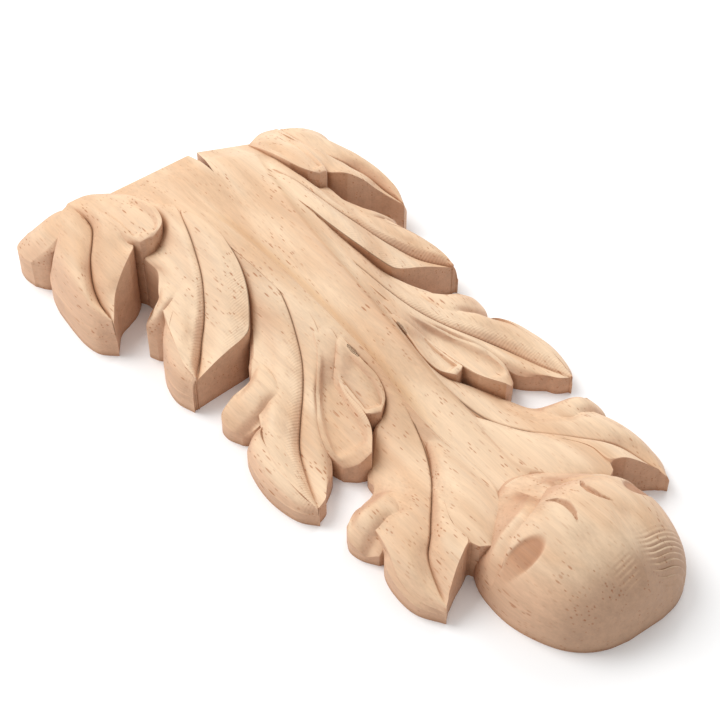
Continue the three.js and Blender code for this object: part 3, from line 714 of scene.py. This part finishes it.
def terrace_share(x, y):
    """How deep the cutter's steps are on the tip's front."""
    right = smooth_step(*TERRACE_RIGHT_Y, y) * smooth_step(*TERRACE_RIGHT_X, x)
    left = smooth_step(*TERRACE_LEFT_Y, y) * window(x, TERRACE_LEFT_RISE, TERRACE_LEFT_FALL)
    return (right + TERRACE_LEFT_SHARE * left) * (1 + TERRACE_DEEPER * smooth_step(*TERRACE_DEEPER_Y, y))


def bulb_relief(x, y, z):
    """Height of the curled tip with its channel, ledge, hollows and cutter steps."""
    side = np.abs(x)
    ledge = nearest_on(LEDGE, side, y)[0]
    ledge_y = np.interp(side, [p[0] for p in LEDGE], [p[1] for p in LEDGE])
    behind = y > ledge_y
    z = z - np.where(behind, LEDGE_DROP * (1 - smooth_step(0, LEDGE_RUN, ledge)), 0)
    z = z - CRESCENT_DEPTH * crescent_share(side, y)
    z = z - np.where(behind, 0, HOLLOW_DEPTH * hollow_share(side, y))
    front = smooth_step(*CROWN_FRONT, y)
    z = z + CROWN_RIDGE * front * np.exp(-side / CROWN_RIDGE_WIDTH)
    z = z - FLUTE_DEPTH * front * np.exp(-((side - FLUTE_AT) / FLUTE_WIDTH) ** 2)
    wave = np.abs(np.sin(np.pi * y / TERRACE_PITCH))
    z = z - TERRACE_STEP * terrace_share(x, y) * (1 - wave)
    floor = CHANNEL_FLOOR_Z + CHANNEL_RAMP * np.maximum(0, CHANNEL_RISE_Y - y)
    floor = floor + CHANNEL_SLOPE * np.maximum(0, side - CHANNEL_HALF_WIDTH)
    return np.where(behind, np.minimum(z, floor), z)


def bulb_grid():
    """The curled tip as half-round rows, evenly paced along its crown and crowded at its axis."""
    lengths = np.array([s[1] for s in BULB_STATIONS])
    rows = int((lengths.max() - lengths.min()) / BULB_STEP_ALONG)
    fine = fine_line(BULB_STATIONS, rows * BULB_OVERSAMPLING)
    along = np.concatenate([[0], np.cumsum(np.linalg.norm(np.diff(fine, axis=0), axis=1))])
    paced = np.linspace(0, along[-1], rows)
    profile = np.stack([np.interp(paced, along, fine[:, k]) for k in range(3)], axis=1)
    columns = int(np.pi * BULB_HALF_WIDTH / BULB_STEP_ACROSS)
    even = np.linspace(0, 1, columns + 1)
    angle = np.pi * (even + BULB_CROWDING * np.sin(2 * np.pi * even) - 0.5)
    x = profile[:, :1] * np.sin(angle)
    y = np.repeat(profile[:, 1:2], columns + 1, axis=1)
    z = BULB_SIDE_Z + (profile[:, 2:3] - BULB_SIDE_Z) * np.cos(angle)
    return np.stack([x, y, np.maximum(bulb_relief(x, y, z), LEAST_BULB_Z)], axis=2)


def cut_creases(grid):
    """A narrow V cut where two sheets of a leaflet meet."""
    side = np.abs(grid[..., 0])
    for crease in LEAFLET_CREASES:
        d, share, _ = nearest_on(fine_line(crease), side, grid[..., 1])
        depth = CREASE_DEPTH * between(share, CREASE_ROOT, CREASE_TIP)
        grid[..., 2] -= depth * np.exp(-(d / CREASE_WIDTH) ** 2)
    return grid


def placed(name, data):
    made = bpy.data.objects.new(name, data)
    bpy.context.collection.objects.link(made)
    return made


def mesh_object(name, points, faces):
    mesh = bpy.data.meshes.new(name)
    mesh.from_pydata(points, [], faces)
    return placed(name, mesh)


def triangulated(piece):
    """The same closed piece in triangles that all face outwards."""
    bm = bmesh.new()
    bm.from_mesh(piece.data)
    bmesh.ops.triangulate(bm, faces=bm.faces[:])
    if bm.calc_volume(signed=True) < 0:
        bmesh.ops.reverse_faces(bm, faces=bm.faces[:])
    bm.to_mesh(piece.data)
    bm.free()
    return piece


def column_object(name, grid):
    """Closed solid below a grid, reaching past the back, which is then cut flat."""
    rows, cols = grid.shape[:2]
    top = grid.reshape(-1, 3)
    foot = top.copy()
    foot[:, 2] = FOOT_Z
    index = np.arange(rows * cols).reshape(rows, cols)
    below = index + rows * cols

    def quads(a, b, c, d):
        return np.stack([a.ravel(), b.ravel(), c.ravel(), d.ravel()], axis=1)

    faces = [
        quads(index[:-1, :-1], index[1:, :-1], index[1:, 1:], index[:-1, 1:]),
        quads(below[:-1, :-1], below[:-1, 1:], below[1:, 1:], below[1:, :-1]),
        quads(index[:-1, 0], below[:-1, 0], below[1:, 0], index[1:, 0]),
        quads(index[:-1, -1], index[1:, -1], below[1:, -1], below[:-1, -1]),
        quads(index[0, :-1], index[0, 1:], below[0, 1:], below[0, :-1]),
        quads(index[-1, :-1], below[-1, :-1], below[-1, 1:], index[-1, 1:]),
    ]
    points = np.vstack([top, foot]) * MM
    return triangulated(mesh_object(name, points.tolist(), np.vstack(faces).tolist()))


def prism_object(name, outline, low, high):
    count = len(outline)
    points = np.array([(x, y, z) for z in (low, high) for x, y in outline], float) * MM
    faces = [tuple(range(count))[::-1], tuple(range(count, 2 * count))]
    faces += [(k, (k + 1) % count, count + (k + 1) % count, count + k) for k in range(count)]
    return mesh_object(name, points.tolist(), faces)


def combine(piece, other, operation):
    """Boolean of two closed pieces. The other one is used up."""
    cut = piece.modifiers.new("combine", "BOOLEAN")
    cut.operation = operation
    cut.solver = "MANIFOLD"
    cut.object = other
    graph = bpy.context.evaluated_depsgraph_get()
    mesh = bpy.data.meshes.new_from_object(piece.evaluated_get(graph))
    piece.modifiers.clear()
    piece.data = mesh
    bpy.data.objects.remove(other)
    return piece


def notch_object():
    """V notch through the stem's end."""
    end = STEM_AXIS_Y + CUT_MARGIN
    tip = STEM_AXIS_Y - NOTCH_DEPTH
    w = NOTCH_HALF_WIDTH * (end - tip) / NOTCH_DEPTH
    return prism_object("notch", [(-w, end), (0, tip), (w, end)], FOOT_Z - CUT_MARGIN, CUT_TOP_Z)


def eye_object(sign):
    """Slot with pointed ends, on the side that the sign names."""
    a, b = np.array(EYE_ENDS)
    along = (b - a) / np.linalg.norm(b - a)
    across = np.array([-along[1], along[0]]) * EYE_HALF_WIDTH
    outline = [a + (b - a) * end + along * forth + across * width for end, forth, width in EYE_CORNERS]
    outline = [(x * sign, y) for x, y in outline][::sign]
    return prism_object("eye", outline, EYE_FLOOR_Z, CUT_TOP_Z)


def carved_leaf():
    """Groove, mirrored sheets and curled tip in one solid, with the notch and slots cut and its back flat."""
    leaf = column_object("carved_leaf", groove_grid())
    for sheet in SIDE_SHEETS:
        grid = with_relief(sheet, sheet_grid(sheet["rails"]))
        grid = cut_creases(with_edges(grid, sheet["tuck"]))
        for sign in (1, -1):
            leaf = combine(leaf, column_object("sheet", grid * (sign, 1, 1)), "UNION")
    leaf = combine(leaf, column_object("bulb", bulb_grid()), "UNION")
    leaf = combine(leaf, notch_object(), "DIFFERENCE")
    for sign in (1, -1):
        leaf = combine(leaf, eye_object(sign), "DIFFERENCE")
    r = LEAF_LENGTH
    above = prism_object("above_back", [(-r, -r), (r, -r), (r, r), (-r, r)], 0, CUT_TOP_Z)
    return combine(leaf, above, "INTERSECT")


def smooth_with_edges(piece):
    piece.data.shade_smooth()
    bm = bmesh.new()
    bm.from_mesh(piece.data)
    for edge in bm.edges:
        edge.smooth = edge.calc_face_angle(0) < SHARP_ANGLE
    bm.to_mesh(piece.data)
    bm.free()


def rift_mask(side, y):
    """Distance in mm to the nearest dark line of painted crease shade, which is lifted where the line fades
    at its ends.
    """
    rift = np.full(len(y), RIFT_NOWHERE)
    for path, fade in RIFTS:
        d, share, _ = nearest_on(fine_line(path), side, y)
        rift = np.minimum(rift, d + RIFT_END_LIFT * (1 - between(share, RIFT_ROOT, fade)))
    return rift


def hatch_mask(side, y):
    """Where the cutter left its marks, on the outer side of each path."""
    hatch = np.zeros(len(y))
    for path, reach, start in HATCHED:
        d, share, outer = nearest_on(fine_line(path), side, y)
        mask = 1 - smooth_step(reach * HATCH_CORE, reach, d)
        mask *= smooth_step(start, start + HATCH_SETS_IN, share) * outer
        hatch = np.maximum(hatch, mask)
    return hatch


def tip_hollow_shade_mask(side, y):
    """Where painted shade darkens the curled tip: its crescents, hollows and a patch behind the ledge."""
    tip_hollow_shade = np.maximum(CRESCENT_SHADE * crescent_share(side, y), hollow_share(side, y))
    patch = window(side, *PATCH_SIDE) * window(y, *PATCH_Y)
    return np.where(y < SHADE_BELOW_Y, np.maximum(tip_hollow_shade, PATCH_SHADE * patch), 0)


def paint_masks(piece):
    """What the material needs to know of each place, kept on the vertices."""
    mesh = piece.data
    co = np.empty(len(mesh.vertices) * 3, np.float32)
    mesh.vertices.foreach_get("co", co)
    co = co.reshape(-1, 3) / MM
    x, y = co[:, 0], co[:, 1]
    side = np.abs(x)
    from_band, share, _ = nearest_on(BAND, x, y)
    from_crest = nearest_on(fine_line(GROOVE_CREST, CREST_POINTS), x, y)[0]
    # Masks: dark crease lines of painted shade, cutter marks, painted shade on the curled tip and its front,
    # a darker band, and painted shade along one crest
    masks = dict(
        rift=rift_mask(side, y),
        hatch=hatch_mask(side, y),
        tip_hollow_shade=tip_hollow_shade_mask(side, y),
        front=smooth_step(*FRONT_Y, y),
        band=np.exp(-(from_band / BAND_WIDTH) ** 2) * between(share, BAND_ROOT, BAND_TIP),
        crest=(1 - smooth_step(*CREST_LINE_EDGE, from_crest)) * window(y, *CREST_LINE_Y),
    )
    for name, values in masks.items():
        layer = mesh.attributes.new(name, "FLOAT", "POINT")
        layer.data.foreach_set("value", values.astype(np.float32))


def link(tree, value, socket):
    if isinstance(value, bpy.types.NodeSocket):
        tree.links.new(value, socket)
    else:
        socket.default_value = value


def add(tree, kind, inputs, **settings):
    """A node with its settings and inputs. An input is a value or another node's socket."""
    made = tree.nodes.new(kind)
    for key, value in settings.items():
        setattr(made, key, value)
    for key, value in inputs.items():
        link(tree, value, made.inputs[key])
    return made


def maths(tree, operation, a, b=0.0):
    return add(tree, "ShaderNodeMath", {0: a, 1: b}, operation=operation).outputs[0]


def product(tree, a, b):
    return maths(tree, "MULTIPLY", a, b)


def stretched(tree, vector, factors):
    return add(tree, "ShaderNodeVectorMath", {0: vector, 1: factors}, operation="MULTIPLY").outputs[0]


def ramp(tree, value, low, high, to_low=0.0, to_high=1.0):
    inputs = {"Value": value, "From Min": low, "From Max": high, "To Min": to_low, "To Max": to_high}
    return add(tree, "ShaderNodeMapRange", inputs, interpolation_type="SMOOTHSTEP").outputs[0]


def noise(tree, mm, grain, detail=2.0, roughness=0.5):
    """Smooth noise that repeats as often per mm as the grain says."""
    inputs = {"Vector": stretched(tree, mm, grain), "Scale": 1.0, "Detail": detail, "Roughness": roughness}
    return add(tree, "ShaderNodeTexNoise", inputs).outputs["Fac"]


def mixed(tree, factor, a, b, blend="MIX"):
    made = add(tree, "ShaderNodeMix", {0: factor}, data_type="RGBA", blend_type=blend)
    link(tree, a, made.inputs[6])
    link(tree, b, made.inputs[7])
    return made.outputs[2]


def tinted(tree, factor, colour, tint):
    """The colour, darkened by the tint as far as the factor says."""
    return mixed(tree, factor, colour, mixed(tree, 1.0, colour, tint, "MULTIPLY"))


def painted(tree, name):
    """A mask that was kept on the vertices."""
    return add(tree, "ShaderNodeAttribute", {}, attribute_name=name).outputs["Fac"]


def vessels(tree, mm, cell, radius, share):
    """Dark vessel lines along the grain, and dots where they are cut across."""
    grid = stretched(tree, mm, tuple(1 / c for c in cell))
    cells = add(tree, "ShaderNodeTexVoronoi", {"Vector": grid, "Scale": 1.0, "Randomness": 1.0})
    spindle = ramp(tree, cells.outputs["Distance"], radius * VESSEL_CORE, radius, 1.0, 0.0)
    chance = add(tree, "ShaderNodeSeparateColor", {"Color": cells.outputs["Color"]}).outputs[0]
    shown = ramp(tree, chance, 1 - share, 1 - VESSEL_FADE * share)
    return product(tree, spindle, shown)


def new_material(name):
    material = bpy.data.materials.new(name)
    material.use_nodes = True
    return material, material.node_tree.nodes["Principled BSDF"]


def rubberwood():
    """Bare rubberwood, with shade painted into its colour in places. Its grain runs along Y, and its
    coordinates are millimetres.
    """
    material, shader = new_material("rubberwood")
    tree = material.node_tree
    place = add(tree, "ShaderNodeTexCoord", {})
    scale = {0: place.outputs["Object"], "Scale": 1 / MM}
    mm = add(tree, "ShaderNodeVectorMath", scale, operation="SCALE").outputs[0]
    normal = add(tree, "ShaderNodeSeparateXYZ", {0: place.outputs["Normal"]})
    end_grain = ramp(tree, maths(tree, "ABSOLUTE", normal.outputs["Y"]), *END_GRAIN_FACING)
    wall = ramp(tree, normal.outputs["Z"], *WALL_FACING)

    # Broad bands, painted shade on slopes and walls, and darker end grain that also stands in for shade, then
    # fibres and streaks over them
    colour = mixed(tree, ramp(tree, noise(tree, mm, BROAD_GRAIN), *BROAD_RANGE), CREAM, TAN)
    # Pinker and darker where the surface slopes: painted shade
    colour = mixed(tree, ramp(tree, normal.outputs["Z"], *SLOPE_FACING), colour, PINK_SLOPE_SHADE)
    # Darker end grain, which also stands in for shade, and painted shade on steep walls
    colour = mixed(tree, product(tree, end_grain, END_GRAIN_SHARE), colour, END_GRAIN_AND_WALL_SHADE)
    colour = mixed(tree, product(tree, wall, WALL_SHADE_SHARE), colour, END_GRAIN_AND_WALL_SHADE)
    fibre = noise(tree, mm, FIBRE_GRAIN, 3.0, 0.6)
    streak = noise(tree, mm, STREAK_GRAIN)
    shade = maths(tree, "ADD", ramp(tree, fibre, *FIBRE_SHADE), ramp(tree, streak, *STREAK_SHADE))
    grey = add(tree, "ShaderNodeCombineColor", {0: shade, 1: shade, 2: shade}).outputs[0]
    colour = mixed(tree, 1.0, colour, grey, "MULTIPLY")

    # Vessel lines, which are denser in some patches than in others
    patches = ramp(tree, noise(tree, mm, PATCH_GRAIN, 1.0), *PATCH_RANGE)
    short = product(tree, vessels(tree, mm, *SHORT_VESSELS), SHORT_VESSEL_SHARE)
    pores = product(tree, maths(tree, "MAXIMUM", vessels(tree, mm, *LONG_VESSELS), short), patches)
    colour = mixed(tree, product(tree, pores, VESSEL_SHARE), colour, PORE)

    # Painted shade on the curled tip, on its front, along one crest, in the creases and in the corners, and a
    # darker band in the groove
    # Painted shade in the tip's crescents, hollows and the patch behind the ledge
    colour = tinted(tree, painted(tree, "tip_hollow_shade"), colour, TIP_HOLLOW_SHADE)
    # Painted shade on the tip's front
    colour = tinted(tree, painted(tree, "front"), colour, SHADED)
    band = product(tree, painted(tree, "band"), ramp(tree, streak, *BAND_STREAKS))
    colour = tinted(tree, band, colour, BROWN_BAND)
    # Painted shade as a faint line along the groove's right crest
    colour = tinted(tree, painted(tree, "crest"), colour, CREST_SHADE)
    # Painted shade as dark lines in the creases, kept off the steep walls
    rift = ramp(tree, painted(tree, "rift"), *RIFT_RANGE)
    cut = product(tree, rift, maths(tree, "SUBTRACT", 1.0, wall))
    colour = mixed(tree, product(tree, cut, CREASE_SHADE_SHARE), colour, CREASE_SHADE)
    # Painted shade in the corners, darker where the surface is more enclosed
    reach = {"Distance": CORNER_SHADE_REACH * MM}
    corners = add(tree, "ShaderNodeAmbientOcclusion", reach, samples=CORNER_SHADE_SAMPLES).outputs["AO"]
    colour = tinted(tree, ramp(tree, corners, *CORNER_SHADE_RANGE), colour, CORNER_SHADE)
    link(tree, colour, shader.inputs["Base Color"])

    # Relief: rows of cutter marks beside the creases and on the walls, fibres and open vessels
    row = add(tree, "ShaderNodeSeparateXYZ", {0: mm}).outputs["Y"]
    row = maths(tree, "ADD", row, product(tree, noise(tree, mm, WOBBLE_GRAIN, 1.0), CUTTER_WOBBLE))
    wave = maths(tree, "SINE", product(tree, row, 2 * math.pi / CUTTER_PITCH))
    marks = maths(tree, "MAXIMUM", painted(tree, "hatch"), product(tree, wall, WALL_HATCH))
    height = product(tree, wave, product(tree, marks, CUTTER_HEIGHT))
    height = maths(tree, "ADD", height, product(tree, fibre, FIBRE_HEIGHT))
    height = maths(tree, "SUBTRACT", height, product(tree, pores, VESSEL_DEPTH))
    bump = add(tree, "ShaderNodeBump", {"Height": height, "Strength": BUMP_STRENGTH, "Distance": MM})
    link(tree, bump.outputs[0], shader.inputs["Normal"])
    link(tree, ramp(tree, fibre, *ROUGHNESS_RANGE), shader.inputs["Roughness"])
    shader.inputs["Specular IOR Level"].default_value = WOOD_SPECULAR
    return material


def add_camera():
    camera = placed("camera", bpy.data.cameras.new("camera"))
    azimuth = math.radians(CAMERA_AZIMUTH)
    elevation = math.radians(CAMERA_ELEVATION)
    level = math.cos(elevation)
    back = Vector((math.sin(azimuth) * level, -math.cos(azimuth) * level, math.sin(elevation)))
    camera.location = CAMERA_TARGET + back * CAMERA_DISTANCE
    camera.rotation_euler = (-back).to_track_quat("-Z", "Y").to_euler()
    camera.data.sensor_width = SENSOR_WIDTH
    camera.data.lens = FOCAL_PIXELS * SENSOR_WIDTH / IMAGE_SIZE
    camera.data.clip_start = CLIP_START
    bpy.context.scene.camera = camera


def add_floor():
    r = FLOOR_RADIUS
    floor = mesh_object("floor", [(-r, -r, 0), (r, -r, 0), (r, r, 0), (-r, r, 0)], [(0, 1, 2, 3)])
    paper, shader = new_material("paper")
    shader.inputs["Base Color"].default_value = PAPER
    shader.inputs["Roughness"].default_value = PAPER_ROUGHNESS
    shader.inputs["Specular IOR Level"].default_value = PAPER_SPECULAR
    floor.data.materials.append(paper)


def add_softbox(name, toward, distance, size, power):
    lamp = bpy.data.lights.new(name, "AREA")
    lamp.size = size
    lamp.energy = power
    softbox = placed(name, lamp)
    direction = Vector(toward).normalized()
    softbox.location = direction * distance
    softbox.rotation_euler = direction.to_track_quat("Z", "Y").to_euler()


def add_sky():
    world = bpy.data.worlds.new("studio")
    world.use_nodes = True
    background = world.node_tree.nodes["Background"]
    background.inputs["Color"].default_value = (1, 1, 1, 1)
    background.inputs["Strength"].default_value = SKY_STRENGTH
    bpy.context.scene.world = world


leaf = carved_leaf()
smooth_with_edges(leaf)
paint_masks(leaf)
leaf.data.materials.clear()
leaf.data.materials.append(rubberwood())
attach(leaf, "root")
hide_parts("acanthus_leaf")

add_camera()
add_floor()
add_softbox("key", **KEY)
add_softbox("fill", **FILL)
add_sky()
bpy.context.scene.view_settings.view_transform = "Standard"
